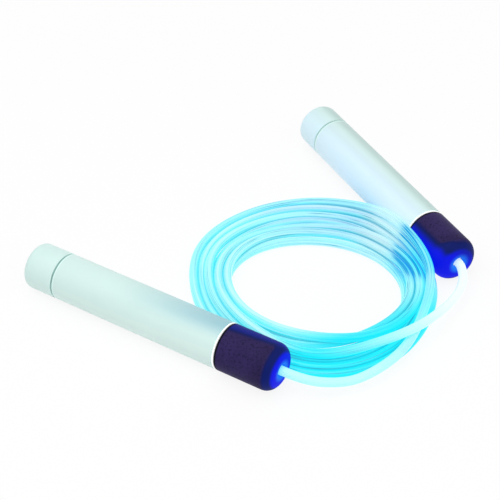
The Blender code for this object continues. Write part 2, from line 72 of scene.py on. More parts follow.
class Value:
    """A number in a shader, with the arithmetic that adds its Math nodes."""

    def __init__(self, nodes: "Nodes", socket: bpy.types.NodeSocket) -> None:
        """Keep the socket and the nodes that it belongs to."""
        self.nodes = nodes
        self.socket = socket

    def _math(self, operation: str, left: Any, right: Any) -> "Value":
        """Add one Math node for two numbers or Values."""
        return self.nodes.value("ShaderNodeMath", {"operation": operation}, {0: left, 1: right})

    def __add__(self, other: Any) -> "Value":
        """Sum."""
        return self._math("ADD", self, other)

    def __radd__(self, other: Any) -> "Value":
        """Sum, with the number first."""
        return self._math("ADD", other, self)

    def __sub__(self, other: Any) -> "Value":
        """Difference."""
        return self._math("SUBTRACT", self, other)

    def __rsub__(self, other: Any) -> "Value":
        """Difference, with the number first."""
        return self._math("SUBTRACT", other, self)

    def __mul__(self, other: Any) -> "Value":
        """Product."""
        return self._math("MULTIPLY", self, other)

    def __rmul__(self, other: Any) -> "Value":
        """Product, with the number first."""
        return self._math("MULTIPLY", other, self)

    def least(self, other: Any) -> "Value":
        """The smaller of two."""
        return self._math("MINIMUM", self, other)

    def greatest(self, other: Any) -> "Value":
        """The larger of two."""
        return self._math("MAXIMUM", self, other)

    def eased(self, low: float, high: float, start: float = 0.0, end: float = 1.0) -> "Value":
        """Ease from start, at and below low, to end, at and above high."""
        sockets = {"Value": self, "From Min": low, "From Max": high, "To Min": start, "To Max": end}
        return self.nodes.value("ShaderNodeMapRange", {"interpolation_type": "SMOOTHSTEP"}, sockets)


class Nodes:
    """One node tree, of a material or of the world."""

    def __init__(self, tree: bpy.types.NodeTree) -> None:
        """Keep the tree."""
        self.tree = tree

    def plug(self, socket: bpy.types.NodeSocket, given: Any) -> None:
        """Set or link one socket.

        Args:
            socket: The input.
            given: A number, a colour, a Value or another node's output.
        """
        if isinstance(given, Value):
            given = given.socket
        if isinstance(given, bpy.types.NodeSocket):
            self.tree.links.new(given, socket)
        elif socket.type == "RGBA" and len(given) == 3:
            socket.default_value = (*given, 1.0)
        else:
            socket.default_value = given

    def add(self, kind: str, settings: dict | None = None, sockets: dict | None = None) -> bpy.types.Node:
        """Add any node.

        Args:
            kind: The node's type.
            settings: Its settings by name, which are set first.
            sockets: Values or links of its inputs, by name or number.

        Returns:
            The node.
        """
        node = self.tree.nodes.new(kind)
        for name, setting in (settings or {}).items():
            setattr(node, name, setting)
        for name, given in (sockets or {}).items():
            self.plug(node.inputs[name], given)
        return node

    def value(
        self, kind: str, settings: dict | None = None, sockets: dict | None = None, out: Any = 0
    ) -> Value:
        """Add a node and wrap one of its outputs, by name or number, as a Value."""
        return Value(self, self.add(kind, settings, sockets).outputs[out])

    def vector(self, operation: str, first: Any, second: Any, out: str = "Vector") -> bpy.types.NodeSocket:
        """Add a Vector Math node and give one of its outputs, by name."""
        sockets = {0: first, 1: second}
        return self.add("ShaderNodeVectorMath", {"operation": operation}, sockets).outputs[out]

    def mix(self, share: Any, first: Any, second: Any) -> bpy.types.NodeSocket:
        """Mix a share of the second colour into the first; each is a colour or a socket."""
        sockets = {MIX_FACTOR: share, MIX_FIRST: first, MIX_SECOND: second}
        return self.add("ShaderNodeMix", {"data_type": "RGBA"}, sockets).outputs[MIX_RESULT]

    def place(self) -> bpy.types.NodeSocket:
        """Object coordinates, in metres of the frame."""
        return self.add("ShaderNodeTexCoord").outputs["Object"]

    def noise(self, scale: float, detail: float = 2.0, where: Any = None, rough: float = 0.5) -> Value:
        """Noise over the piece.

        Args:
            scale: Waves per metre.
            detail: Octaves.
            where: Coordinates, the object's own if none are given.
            rough: How strong the finer octaves are.

        Returns:
            The noise, about one half.
        """
        vector = self.place() if where is None else where
        sockets = {"Vector": vector, "Scale": scale, "Detail": detail, "Roughness": rough}
        return self.value("ShaderNodeTexNoise", None, sockets, "Fac")

    def along(self, start: Vector, direction: Vector) -> Value:
        """Distance from a point along a direction, at each place of the piece."""
        away = self.vector("SUBTRACT", self.place(), start)
        return Value(self, self.vector("DOT_PRODUCT", away, direction, "Value"))

    def from_axis(self, start: Vector, direction: Vector) -> Value:
        """Distance from an axis, at each place of the piece."""
        cross = self.vector("CROSS_PRODUCT", self.vector("SUBTRACT", self.place(), start), direction)
        return Value(self, self.vector("DISTANCE", cross, Vector(), "Value"))

    def distance(self, point: Vector) -> Value:
        """Distance from a point, at each place of the piece."""
        return Value(self, self.vector("DISTANCE", self.place(), point, "Value"))

    def mark(self, name: str, out: str = "Fac") -> bpy.types.NodeSocket:
        """What is stored under that name on the piece's vertices."""
        return self.add("ShaderNodeAttribute", {"attribute_name": name}).outputs[out]


class Shader(Nodes):
    """The node tree of one material, round its Principled shader."""

    def __init__(self, name: str) -> None:
        """Start a material with a Principled shader only.

        Args:
            name: The material's name.
        """
        self.material = bpy.data.materials.new(name)
        self.material.use_nodes = True
        super().__init__(self.material.node_tree)
        self.surface = self.tree.nodes["Principled BSDF"]

    def relief(self, height: Value, distance: float, strength: float = 1.0) -> None:
        """Give the surface a fine relief: heights of none to one, times a distance in metres."""
        sockets = {"Height": height, "Distance": distance, "Strength": strength}
        self.plug(self.surface.inputs["Normal"], self.add("ShaderNodeBump", None, sockets).outputs["Normal"])

    def set(self, **inputs: Any) -> None:
        """Set or link the surface's own inputs, with underscores for the spaces of their names."""
        for name, given in inputs.items():
            self.plug(self.surface.inputs[name.replace("_", " ")], given)


@dataclass(frozen=True)
class MouldedPlastic:
    """Moulded plastic: a faint cloudiness in the colour, a fine grain, small handling marks and, where it is
    given, a painted glow.
    """

    name: str
    colour: Colour
    shade: Colour
    roughness: float = 0.42
    grain: float = 0.02 * MM
    cloud_scale: float = 28.0
    grain_scale: float = 2600.0
    specks: float = 0.3
    # Painted glow: light of its own, though the plastic is no lamp.
    glow: float = 0.0
    clouded: Range = (0.35, 0.75)
    specked: Range = (0.45, 0.75)
    rub_scale: float = 90.0
    rub: float = 0.08
    grain_strength: float = 0.6

    def colours(self, shader: Shader) -> bpy.types.NodeSocket:
        """The plastic's colour, clouded and specked.

        Args:
            shader: The shader to add it to.

        Returns:
            The colour's socket.
        """
        cloud = shader.noise(self.cloud_scale, 3.0).eased(*self.clouded)
        speck = shader.noise(self.grain_scale, 2.0).eased(*self.specked)
        return shader.mix(cloud * (1.0 - self.specks) + speck * self.specks, self.colour, self.shade)

    def grain_relief(self, shader: Shader) -> None:
        """The gloss, dulled here and there by handling, and the fine grain.

        Args:
            shader: The material's shader.
        """
        rubbed = shader.noise(self.rub_scale, 4.0) * (2.0 * self.rub)
        shader.set(Roughness=self.roughness - self.rub + rubbed)
        shader.relief(shader.noise(self.grain_scale, 1.0), self.grain, self.grain_strength)

    def material(self) -> bpy.types.Material:
        """Make the material.

        Returns:
            The material.
        """
        shader = Shader(self.name)
        shader.set(Base_Color=self.colours(shader), Emission_Strength=self.glow, Emission_Color=self.colour)
        self.grain_relief(shader)
        return shader.material


@dataclass(frozen=True)
class NoseLight:
    """How the lamp's light shows through one nose, as a painted glow.

    The side is measured from the axis towards the coil, and the rim is brightest on its own bright side.
    """

    coilward: Vector
    bright_side: Vector
    far_rim: float
    side_start: float
    side_glow: float
    slant: float


@dataclass(frozen=True)
class GlowingNose:
    """Dark plastic with the lamp's blue light painted on as a glow, round the mouth and towards the coil; its
    own colour is painted nearly black under the glow, as painted shade towards the front and as painted
    shadow in the gap by the white ring.
    """

    name: str
    mouth: Vector
    ahead: Vector
    rear: float
    body: MouldedPlastic
    light: NoseLight
    blue: Colour = (0.001, 0.006, 0.78)
    navy: Colour = (0.001, 0.009, 0.125)
    pale: Colour = (0.01, 0.22, 0.95)
    black: Colour = (0.002, 0.002, 0.008)
    radius: float = 13.5 * MM
    bright_start: float = 4.05 * MM
    slant_start: float = -2.0 * MM
    front: Range = (-7.0 * MM, -0.5 * MM)
    core: Range = (8.4 * MM, 12.4 * MM)
    core_least: float = 0.2
    halo: Range = (3.5 * MM, 7.4 * MM)
    halo_share: float = 0.85
    # Painted shade: the plastic is painted darker towards the front.
    front_shade: Range = (-15.0 * MM, -7.0 * MM)
    front_shade_share: float = 0.28
    # Painted shadow: a black band along the rear edge, in the gap by the white ring.
    seam: float = 1.1 * MM
    seam_end: float = 1.43 * MM
    uneven: float = 0.3
    uneven_scale: float = 160.0
    navy_range: Range = (0.0, 0.45)
    blue_range: Range = (0.3, 0.95)
    painted_dark_range: Range = (0.0, 0.35)
    specular: float = 0.06

    def material(self) -> bpy.types.Material:
        """Make the material.

        Returns:
            The material.
        """
        light = self.light
        shader = Shader(self.name)
        painted = self.body.colours(shader)
        self.body.grain_relief(shader)
        station = shader.along(self.mouth, self.ahead)
        across = shader.along(self.mouth, light.coilward)
        brighter = shader.along(self.mouth, light.bright_side)
        off_axis = shader.from_axis(self.mouth, self.ahead)
        # Painted light: the lamp's glow at the front, brighter on one side of the rim, and along the side
        # towards the coil.
        slanted = station + (across - self.slant_start).greatest(0.0) * light.slant
        rim = brighter.eased(-self.radius, self.bright_start, light.far_rim, 1.0)
        front = slanted.eased(*self.front) * rim
        side = across.eased(light.side_start, self.radius) * light.side_glow
        lit = (front + side).least(1.0)
        bright = (front * off_axis.eased(*self.core, 1.0, self.core_least) + side).least(1.0)
        uneven = shader.noise(self.uneven_scale) * self.uneven + (1.0 - self.uneven / 2)
        # The painted glow: navy where faint, blue where bright, and a pale blue halo round the mouth.
        glow = shader.mix(lit.eased(*self.navy_range), BLACK, self.navy)
        glow = shader.mix(bright.eased(*self.blue_range) * uneven, glow, self.blue)
        glow = shader.mix(off_axis.eased(*self.halo, self.halo_share, 0.0) * front, glow, self.pale)
        # Painted shadow by the ring, painted shade towards the front, and black plastic under the painted
        # glow.
        seam = station.eased(self.rear + self.seam, self.rear + self.seam_end, 1.0, 0.0)
        front_shade = station.eased(*self.front_shade, 0.0, self.front_shade_share)
        painted_dark = lit.eased(*self.painted_dark_range).greatest(seam).greatest(front_shade)
        shader.set(
            Base_Color=shader.mix(painted_dark, painted, self.black),
            Specular_IOR_Level=self.specular,
            Emission_Color=shader.mix(seam, glow, BLACK),
            Emission_Strength=1.0,
        )
        return shader.material


@dataclass(frozen=True)
class TubeLight:
    """How the coil's light, and the light and shade of the far side, are painted on one tube.

    Stations are measured from the mouth, and the side is measured from the axis towards the coil.
    """

    coilward: Vector
    coil_light_colour: Colour
    glow: Colour
    far: Colour
    start: float
    end: float
    least: float
    side_start: float


@dataclass(frozen=True)
class PaintedLightTube:
    """Pale plastic with painted light: the coil's light on the side that faces it, the far side painted a
    little lighter on one handle and darker on the other, and a painted highlight along the rear edge.
    """

    name: str
    mouth: Vector
    ahead: Vector
    body: MouldedPlastic
    lip: float
    light: TubeLight
    radius: float = 13.5 * MM
    far: Range = (3.0 * MM, -5.0 * MM)
    facing: Range = (5.0 * MM, 10.0 * MM)
    highlight_reach: Range = (0.91 * MM, 1.3 * MM)
    highlight_colour: Colour = (0.74, 0.97, 0.93)

    def material(self) -> bpy.types.Material:
        """Make the material.

        Returns:
            The material.
        """
        light = self.light
        shader = Shader(self.name)
        painted = self.body.colours(shader)
        self.body.grain_relief(shader)
        station = shader.along(self.mouth, self.ahead)
        across = shader.along(self.mouth, light.coilward)
        near = station.eased(light.start, light.end, light.least, 1.0)
        # Painted light and shade on the far side, away from the coil.
        painted_lit = shader.mix(across.eased(*self.far), painted, light.far)
        # Painted light: the coil's light on the side that faces it, strongest near the nose.
        painted_lit = shader.mix(near * across.eased(light.side_start, self.radius), painted_lit, light.coil_light_colour)
        # Painted highlight: a pale band either side of the tube's rear edge, by the seam.
        past = (station - self.lip).greatest(self.lip - station)
        lip = past.eased(*self.highlight_reach, 1.0, 0.0)
        shader.set(
            Base_Color=shader.mix(lip, painted_lit, self.highlight_colour),
            # Painted light: a faint glow of the coil's light on the side that faces it.
            Emission_Color=shader.mix(across.eased(*self.facing) * near, BLACK, light.glow),
            Emission_Strength=1.0,
        )
        return shader.material


@dataclass(frozen=True)
class Metal:
    """Drawn or stamped metal with a fine brushed grain and a little tarnish."""

    name: str
    colour: Colour
    tarnish: Colour
    roughness: float = 0.28
    patch_scale: float = 220.0
    tarnished: Range = (0.45, 0.8)
    grain_scale: float = 3000.0
    grain: float = 0.01 * MM
    grain_strength: float = 0.4
    grain_roughness: float = 0.12

    def material(self) -> bpy.types.Material:
        """Make the material.

        Returns:
            The material.
        """
        shader = Shader(self.name)
        patches = shader.noise(self.patch_scale, 4.0).eased(*self.tarnished)
        grain = shader.noise(self.grain_scale, 2.0)
        shader.set(
            Base_Color=shader.mix(patches, self.colour, self.tarnish),
            Roughness=self.roughness + grain * self.grain_roughness,
            Metallic=1.0,
        )
        shader.relief(grain, self.grain, self.grain_strength)
        return shader.material


@dataclass(frozen=True)
class LampResin:
    """Water-clear resin of the lamp, lit from its foot."""

    name: str
    colour: Colour = (0.55, 0.72, 0.95)
    glow: Colour = (0.25, 0.5, 1.0)
    spark: Colour = (0.8, 0.9, 1.0)
    swirl_scale: float = 700.0
    sparkling: Range = (0.3, 0.7)
    roughness: float = 0.05
    strength: float = 2.0
    coat: float = 0.5

    def material(self) -> bpy.types.Material:
        """Make the material.

        Returns:
            The material.
        """
        shader = Shader(self.name)
        swirl = shader.noise(self.swirl_scale, 2.0)
        shader.set(
            Base_Color=shader.mix(swirl, self.colour, self.glow),
            Roughness=swirl * (2.0 * self.roughness) + self.roughness,
            Emission_Color=shader.mix(swirl.eased(*self.sparkling), self.glow, self.spark),
            Emission_Strength=self.strength,
            Coat_Weight=self.coat,
        )
        return shader.material


@dataclass(frozen=True)
class CircuitBoard:
    """Green lacquer over copper, with round pads."""

    name: str
    lacquer: Colour = (0.02, 0.15, 0.06)
    copper: Colour = (0.62, 0.33, 0.16)
    pad_scale: float = 420.0
    scatter: float = 0.4
    pad_edge: Range = (0.34, 0.24)
    pad_height: float = 0.03 * MM
    roughness: float = 0.45
    polish: float = 0.15

    def material(self) -> bpy.types.Material:
        """Make the material.

        Returns:
            The material.
        """
        shader = Shader(self.name)
        sockets = {"Vector": shader.place(), "Scale": self.pad_scale, "Randomness": self.scatter}
        cell = shader.value("ShaderNodeTexVoronoi", {"feature": "F1"}, sockets, "Distance")
        pad = cell.eased(*self.pad_edge)
        shader.set(
            Base_Color=shader.mix(pad, self.lacquer, self.copper),
            Roughness=self.roughness - pad * self.polish,
            Metallic=pad,
        )
        shader.relief(pad, self.pad_height)
        return shader.material


@dataclass(frozen=True)
class CellJacket:
    """Printed foil of a battery cell: a dark body and a plain pale band near the nub."""

    name: str
    tip: Vector
    ahead: Vector
    body: Colour = (0.05, 0.06, 0.09)
    band: Colour = (0.62, 0.45, 0.16)
    band_edge: Range = (-11.4 * MM, -11.0 * MM)
    scuff_scale: float = 400.0
    scuffs: float = 0.2
    roughness: float = 0.22
    metallic: float = 0.6

    def material(self) -> bpy.types.Material:
        """Make the material.

        Returns:
            The material.
        """
        shader = Shader(self.name)
        banded = shader.along(self.tip, self.ahead).eased(*self.band_edge)
        shader.set(
            Base_Color=shader.mix(banded, self.body, self.band),
            Roughness=shader.noise(self.scuff_scale, 5.0) * self.scuffs + self.roughness,
            Metallic=self.metallic,
        )
        return shader.material


@dataclass(frozen=True)
class GlowingCord:
    """Clear soft plastic full of light: milky by the lamps, aqua in the coil, deepest in front; on its glow
    are painted a deeper glow in crowded places and beside the nose, painted shade in the grooves, painted
    blue light from the nose, painted highlight lines and paler strands in front of the tube.
    """

    name: str
    length: float
    front: Vector
    back: Vector
    beside_nose: Vector
    beside_tube: Vector
    clear: Colour = (0.36, 0.46, 0.47)
    deep_painted_skin: Colour = (0.0, 0.18, 0.24)
    groove_shade_skin: Colour = (0.05, 0.15, 0.20)
    milk: Colour = (0.50, 0.54, 0.54)
    aqua: Colour = (0.05, 0.52, 0.53)
    sea: Colour = (0.01, 0.36, 0.54)
    lavender: Colour = (0.09, 0.28, 0.48)
    cyan: Colour = (0.0, 0.66, 0.74)
    groove_shade: Colour = (0.01, 0.19, 0.31)
    blue: Colour = (0.0, 0.10, 0.55)
    azure: Colour = (0.0, 0.22, 0.50)
    pale: Colour = (0.36, 0.50, 0.50)
    milky_glow: Colour = (0.08, 0.44, 0.43)
    white_glow: Colour = (0.38, 0.46, 0.46)
    milky_start: Range = (0.07, 0.18)
    milky_end: Range = (0.07, 0.155)
    white_end: Range = (0.05, 0.12)
    front_way: Point = (0.45, -0.89, 0.0)
    front_range: Range = (-6.0 * MM, 20.0 * MM)
    back_way: Point = (0.5, 0.87, 0.0)
    back_range: Range = (-25.0 * MM, 25.0 * MM)
    back_least: float = 0.15
    left_way: Point = (-1.0, 0.0, 0.0)
    left_range: Range = (5.0 * MM, 60.0 * MM)
    nose_range: Range = (14.0 * MM, 30.0 * MM)
    tube_range: Range = (12.0 * MM, 34.0 * MM)
    tube_most: float = 0.7
    tone_scale: float = 0.7
    line_scale: float = 1.7
    streak_scale: float = 2.6
    deep_front: float = 0.95
    deep_nose: float = 0.7
    deep_crowd: float = 0.3
    crowded: Range = (0.3, 0.8)
    line_width: float = 0.025
    line_share: float = 0.85
    touch_share: float = 0.8
    groove_fade: float = 0.5
    violet_range: Range = (0.40, 0.54)
    sea_range: Range = (0.44, 0.32)
    sea_share: float = 0.8
    sea_fade: float = 0.6
    pale_range: Range = (0.55, 0.66)
    pale_share: float = 0.5
    pale_fade: float = 0.42
    streak_range: Range = (0.51, 0.47)
    streak_place: Range = (0.2, 0.8)
    line_height: float = 0.06 * MM
    line_strength: float = 0.6
    roughness: float = 0.1
    ior: float = 1.45
    specular: float = 0.3
    transmission: float = 0.2

    def material(self) -> bpy.types.Material:
        """Make the material.

        Returns:
            The material.
        """
        shader = Shader(self.name)
        run, crowd, touch = (Value(shader, shader.mark(name)) for name in ("run", "crowd", "touch"))
        thread = shader.mark("thread", "Vector")
        to_end = (1.0 - run) * self.length
        milky = (run * self.length).eased(*self.milky_start, 1.0, 0.0)
        milky = milky.greatest(to_end.eased(*self.milky_end, 1.0, 0.0))
        white = to_end.eased(*self.white_end, 1.0, 0.0)
        inside = 1.0 - milky
        near_front = shader.along(self.front, Vector(self.front_way)).eased(*self.front_range)
        backward = shader.along(self.back, Vector(self.back_way))
        near_back = backward.eased(*self.back_range, self.back_least, 1.0)
        near_left = shader.along(self.back, Vector(self.left_way)).eased(*self.left_range)
        near_nose = shader.distance(self.beside_nose).eased(*self.nose_range, 1.0, 0.0)
        near_tube = shader.distance(self.beside_tube).eased(*self.tube_range, self.tube_most, 0.0)
        tone = shader.noise(self.tone_scale, 1.0, thread)
        lines = shader.noise(self.line_scale, 2.0, thread)
        streaks = shader.noise(self.streak_scale, 1.0, thread)
        # Painted light: the glow is deeper towards the front, beside the nose and where strands crowd each
        # other.
        deep = (near_front * self.deep_front).greatest(near_nose * self.deep_nose)
        deep = deep.greatest(crowd.eased(*self.crowded) * self.deep_crowd) * inside
        # Painted shade: dark lines along the strands and where strands touch, fading on the left.
        line = (lines - 0.5).greatest(0.5 - lines).eased(0.0, self.line_width, self.line_share, 0.0)
        groove = (touch * self.touch_share).greatest(line) * inside * (1.0 - near_left * self.groove_fade)
        violet = tone.eased(*self.violet_range) * near_back * (1.0 - near_nose)
        glow = shader.mix(violet, self.aqua, self.lavender)
        sea = tone.eased(*self.sea_range) * (self.sea_share - near_left * self.sea_fade)
        glow = shader.mix(sea, glow, self.sea)
        glow = shader.mix(deep, glow, self.cyan)
        # Painted highlight: pale lines along the strands. Painted light: paler strands in front of the tube.
        pale = lines.eased(*self.pale_range) * (self.pale_share - near_front * self.pale_fade)
        glow = shader.mix(pale.greatest(near_tube), glow, self.pale)
        # Painted light: blue streaks of the nose's light beside it.
        streak = streaks.eased(*self.streak_range) * near_nose.eased(*self.streak_place) * inside
        glow = shader.mix(streak, glow, self.azure)
        # The painted groove shade turns blue beside the nose.
        glow = shader.mix(groove, glow, shader.mix(near_nose, self.groove_shade, self.blue))
        glow = shader.mix(milky, glow, self.milky_glow)
        # The skin under the glow is painted deeper and darker where the painted light and shade are.
        skin = shader.mix(deep.greatest(streak), self.clear, self.deep_painted_skin)
        skin = shader.mix(groove, skin, self.groove_shade_skin)
        shader.set(
            Base_Color=shader.mix(milky, skin, self.milk),
            Roughness=lines * self.roughness + self.roughness,
            IOR=self.ior,
            Specular_IOR_Level=self.specular,
            Transmission_Weight=self.transmission,
            Emission_Color=shader.mix(white, glow, self.white_glow),
            Emission_Strength=1.0,
        )
        shader.relief(lines, self.line_height, self.line_strength)
        return shader.material


def link(name: str, mesh: bpy.types.Mesh, material: bpy.types.Material) -> bpy.types.Object:
    """Link a mesh as a new object at the origin.

    Args:
        name: The piece's name.
        mesh: Its mesh, with the piece's place in it.
        material: Its finish.

    Returns:
        The object.
    """
    mesh.materials.clear()
    mesh.materials.append(material)
    piece = bpy.data.objects.new(name, mesh)
    bpy.context.scene.collection.objects.link(piece)
    return piece


def dress(node: str, material: bpy.types.Material) -> None:
    """Give a CAD node its finish.

    Args:
        node: The node's name.
        material: The finish.
    """
    mesh = frame["nodes"][node].data
    mesh.materials.clear()
    mesh.materials.append(material)


def arc(radius: float, station: float, size: float, start: float, end: float, steps: int = 4) -> Outline:
    """Points of a round edge in a turned outline.

    Args:
        radius: Radius of the round's centre from the axis.
        station: Station of the round's centre along the axis.
        size: The round's own radius.
        start: First angle, in degrees from outwards towards the front.
        end: Last angle.
        steps: Number of pieces.

    Returns:
        Pairs of radius and station.
    """
    points = []
    for step in range(steps + 1):
        angle = math.radians(start + (end - start) * step / steps)
        points.append((radius + size * math.cos(angle), station + size * math.sin(angle)))
    return points


@dataclass
class TurnedAxis:
    """The axis of one handle: zero at the cord's mouth, positive out of the nose."""

    side: Side
    facets: int = 128
    sharp: float = math.radians(40)

    def __post_init__(self) -> None:
        """Read the axis from the joint that it turns on."""
        joint = next(j for j in frame["joints"] if j["name"] == f"swivel_{self.side.value}")
        self.mouth = Vector(joint["pos_m"])
        self.ahead = Vector(joint["axis"]).normalized()
        turn = self.ahead.to_track_quat("Z", "Y").to_matrix().to_4x4()
        self.matrix = Matrix.Translation(self.mouth) @ turn

    def reach(self, node: str) -> tuple[float, float, float]:
        """Measure a CAD node on this axis.

        Args:
            node: Name of the node, without the side's letter.

        Returns:
            Rear station, front station and outer radius.
        """
        mesh = frame["nodes"][f"{node}_{self.side.value}"].data
        inverse = self.matrix.inverted()
        places = [inverse @ vert.co for vert in mesh.vertices]
        stations = [place.z for place in places]
        radius = max(place.to_2d().length for place in places)
        return min(stations), max(stations), radius

    def turned(self, name: str, outline: Outline) -> bpy.types.Mesh:
        """Spin a closed outline round the axis.

        Args:
            name: Name of the mesh.
            outline: Pairs of radius and station.

        Returns:
            A closed mesh in its place, faces outwards.
        """
        bm = bmesh.new()
        verts = [bm.verts.new((radius, 0.0, station)) for radius, station in outline]
        edges = [bm.edges.new(pair) for pair in zip(verts, verts[1:] + verts[:1])]
        bmesh.ops.spin(
            bm,
            geom=verts + edges,
            cent=(0.0, 0.0, 0.0),
            axis=(0.0, 0.0, 1.0),
            angle=math.tau,
            steps=self.facets,
            use_merge=True,
        )
        bmesh.ops.remove_doubles(bm, verts=bm.verts, dist=WELD)
        bmesh.ops.recalc_face_normals(bm, faces=bm.faces)
        bmesh.ops.transform(bm, matrix=self.matrix, verts=bm.verts)
        mesh = bpy.data.meshes.new(name)
        bm.to_mesh(mesh)
        bm.free()
        mesh.shade_smooth()
        mesh.set_sharp_from_angle(angle=self.sharp)
        return mesh


@dataclass
class Handle:
    """One handle: its shells as fine turned meshes, and the finishes of what they hold."""

    side: Side
    nose_light: NoseLight
    tube_light: TubeLight
    ease: float = 0.45 * MM
    seat_gap: float = 0.3 * MM
    tube_wall: float = 2.0 * MM
    nose_round: float = 7.0 * MM
    nose_spigot_wall: float = 1.2 * MM
    mouth_radius: float = 3.4 * MM
    mouth_flare: float = 1.4 * MM
    mouth_lip: float = 3.0 * MM
    bush_seat: float = 5.8 * MM
    bush_room: float = 1.8 * MM
    ring_depth: float = 2.0 * MM
    ring_crown: float = 0.6
    cap_round: float = 3.5 * MM
    cap_spigot_wall: float = 2.7 * MM
    cap_end_wall: float = 3.0 * MM
    gasket_depth: float = 1.4 * MM
    hole_radius: float = 5.5 * MM
    hole_rim: float = 0.5 * MM
    button_radius: float = 5.2 * MM
    button_ease: float = 0.5 * MM
    button_height: float = 2.9 * MM
    flange_thickness: float = 1.3 * MM
    stem_radius: float = 2.0 * MM
    dish_depth: float = 0.3 * MM
    thumb_rings: int = 3
    thumb_pitch: float = 1.2 * MM
    thumb_width: float = 0.3 * MM
    thumb_foot: float = 0.22 * MM
    thumb_crest: float = 0.05 * MM
    rim_width: float = 0.2 * MM
    rim_depth: float = 0.1 * MM

    def __post_init__(self) -> None:
        """Find the handle's axis in the frame, the radius of its plugs and the shoulder of its nose."""
        self.axis = TurnedAxis(self.side)
        self.letter = self.side.value
        self.plug = self.axis.reach("battery_sleeve")[2]
        self.shoulder = self.axis.reach("nose_ring")[1] + self.seat_gap

    def add(
        self, name: str, outline: Outline, finish: bpy.types.Material, slot: str, node: str, body: str
    ) -> None:
        """Add one turned shell in place of its CAD node.

        Args:
            name: The piece's name, without the side's letter.
            outline: Its closed outline.
            finish: Its material.
            slot: Not used.
            node: The CAD node that it stands for, without the letter.
            body: The body that it rides on, without the letter.
        """
        full = f"{name}_{self.letter}"
        piece = link(full, self.axis.turned(full, outline), finish)
        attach(piece, f"{body}_{self.letter}")
        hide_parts(f"{node}_{self.letter}")
        LOG.info("shell %s: %d faces", full, len(piece.data.polygons))

    def tube(self) -> Outline:
        """The plain grip tube with eased ends.

        Returns:
            Its outline.
        """
        rear, front, radius = self.axis.reach("handle_tube")
        bore = radius - self.tube_wall
        inset = radius - self.ease
        return [
            (bore, rear),
            *arc(inset, rear + self.ease, self.ease, -90, 0),
            *arc(inset, front - self.ease, self.ease, 0, 90),
            (bore, front),
        ]

    def nose(self) -> Outline:
        """The nose with its round front, its flared mouth and the spigot in the tube.

        Returns:
            Its outline.
        """
        rear, front, radius = self.axis.reach("nose_cap")
        cavity = self.plug - self.nose_spigot_wall
        wall = self.axis.reach("swivel_bush")[0] + self.bush_room
        lip = front - self.mouth_lip
        big = self.nose_round
        flare = self.mouth_flare
        return [
            (cavity, rear),
            (self.plug, rear),
            (self.plug, self.shoulder),
            *arc(radius - self.ease, self.shoulder + self.ease, self.ease, -90, 0),
            *arc(radius - big, front - big, big, 0, 90, 16),
            *arc(self.mouth_radius + flare, front - flare, flare, 90, 180, 6),
            (self.mouth_radius, lip),
            (self.bush_seat, lip),
            (self.bush_seat, wall),
            (cavity, wall),
        ]

    def ring(self) -> Outline:
        """The white ring between the tube and the nose, slightly crowned.

        Returns:
            Its outline.
        """
        rear, front, radius = self.axis.reach("nose_ring")
        inner = radius - self.ring_depth
        half = (front - rear) / 2
        crown = arc(radius - half * self.ring_crown, rear + half, half, -90, 90, 8)
        return [(inner, rear), *((min(size, radius), station) for size, station in crown), (inner, front)]

    def rear_cap(self) -> Outline:
        """The rear cap with its round edge, the hole of the button and the plug in the tube.

        Returns:
            Its outline.
        """
        rear, front, radius = self.axis.reach("rear_cap")
        shoulder = self.axis.reach("cap_gasket")[0] - self.seat_gap
        cavity = self.plug - self.cap_spigot_wall
        wall = rear + self.cap_end_wall
        return [
            (cavity, wall),
            (self.hole_radius, wall),
            *arc(self.hole_radius + self.hole_rim, rear + self.hole_rim, self.hole_rim, 180, 270),
            *arc(radius - self.cap_round, rear + self.cap_round, self.cap_round, -90, 0, 12),
            *arc(radius - self.ease, shoulder - self.ease, self.ease, 0, 90),
            (self.plug, shoulder),
            (self.plug, front),
            (cavity, front),
        ]

    def gasket(self) -> Outline:
        """The dark gasket in the seam.

        Returns:
            Its outline.
        """
        rear, front, radius = self.axis.reach("cap_gasket")
        inner = radius - self.gasket_depth
        half = (front - rear) / 2
        return [(inner, rear), *arc(radius - half, rear + half, half, -90, 90, 6), (inner, front)]

    def button(self) -> Outline:
        """The push button, its face dished and ringed for the thumb.

        Returns:
            Its outline.
        """
        rear, front, flange = self.axis.reach("switch_button")
        flange_rear = rear + self.button_height
        flange_front = flange_rear + self.flange_thickness
        edge = self.button_radius - self.button_ease
        rings = []
        for count in range(self.thumb_rings):
            middle = self.thumb_pitch * (count + 1)
            rings += [
                (middle - self.thumb_width, rear + self.thumb_foot),
                (middle, rear + self.thumb_crest),
                (middle + self.thumb_width, rear + self.thumb_foot),
            ]
        return [
            (0.0, rear + self.dish_depth),
            *rings,
            (edge - self.rim_width, rear + self.rim_depth),
            *arc(edge, rear + self.button_ease, self.button_ease, -90, 0, 5),
            (self.button_radius, flange_rear),
            (flange, flange_rear),
            (flange, flange_front),
            (self.stem_radius, flange_front),
            (self.stem_radius, front),
            (0.0, front),
        ]

    def inner(self, finishes: dict[str, bpy.types.Material]) -> None:
        """Dress the CAD nodes that the shells hide.

        Args:
            finishes: The finishes by name.
        """
        for node, name in INNER_FINISHES.items():
            dress(f"{node}_{self.letter}", finishes[name])
        for place in ("front", "rear"):
            tip = self.axis.mouth + self.axis.ahead * self.axis.reach(f"cell_{place}")[1]
            jacket = CellJacket(f"cell_jacket_{place}_{self.letter}", tip, self.axis.ahead)
            dress(f"cell_{place}_{self.letter}", jacket.material())
        LOG.info("inside of handle %s dressed", self.letter)

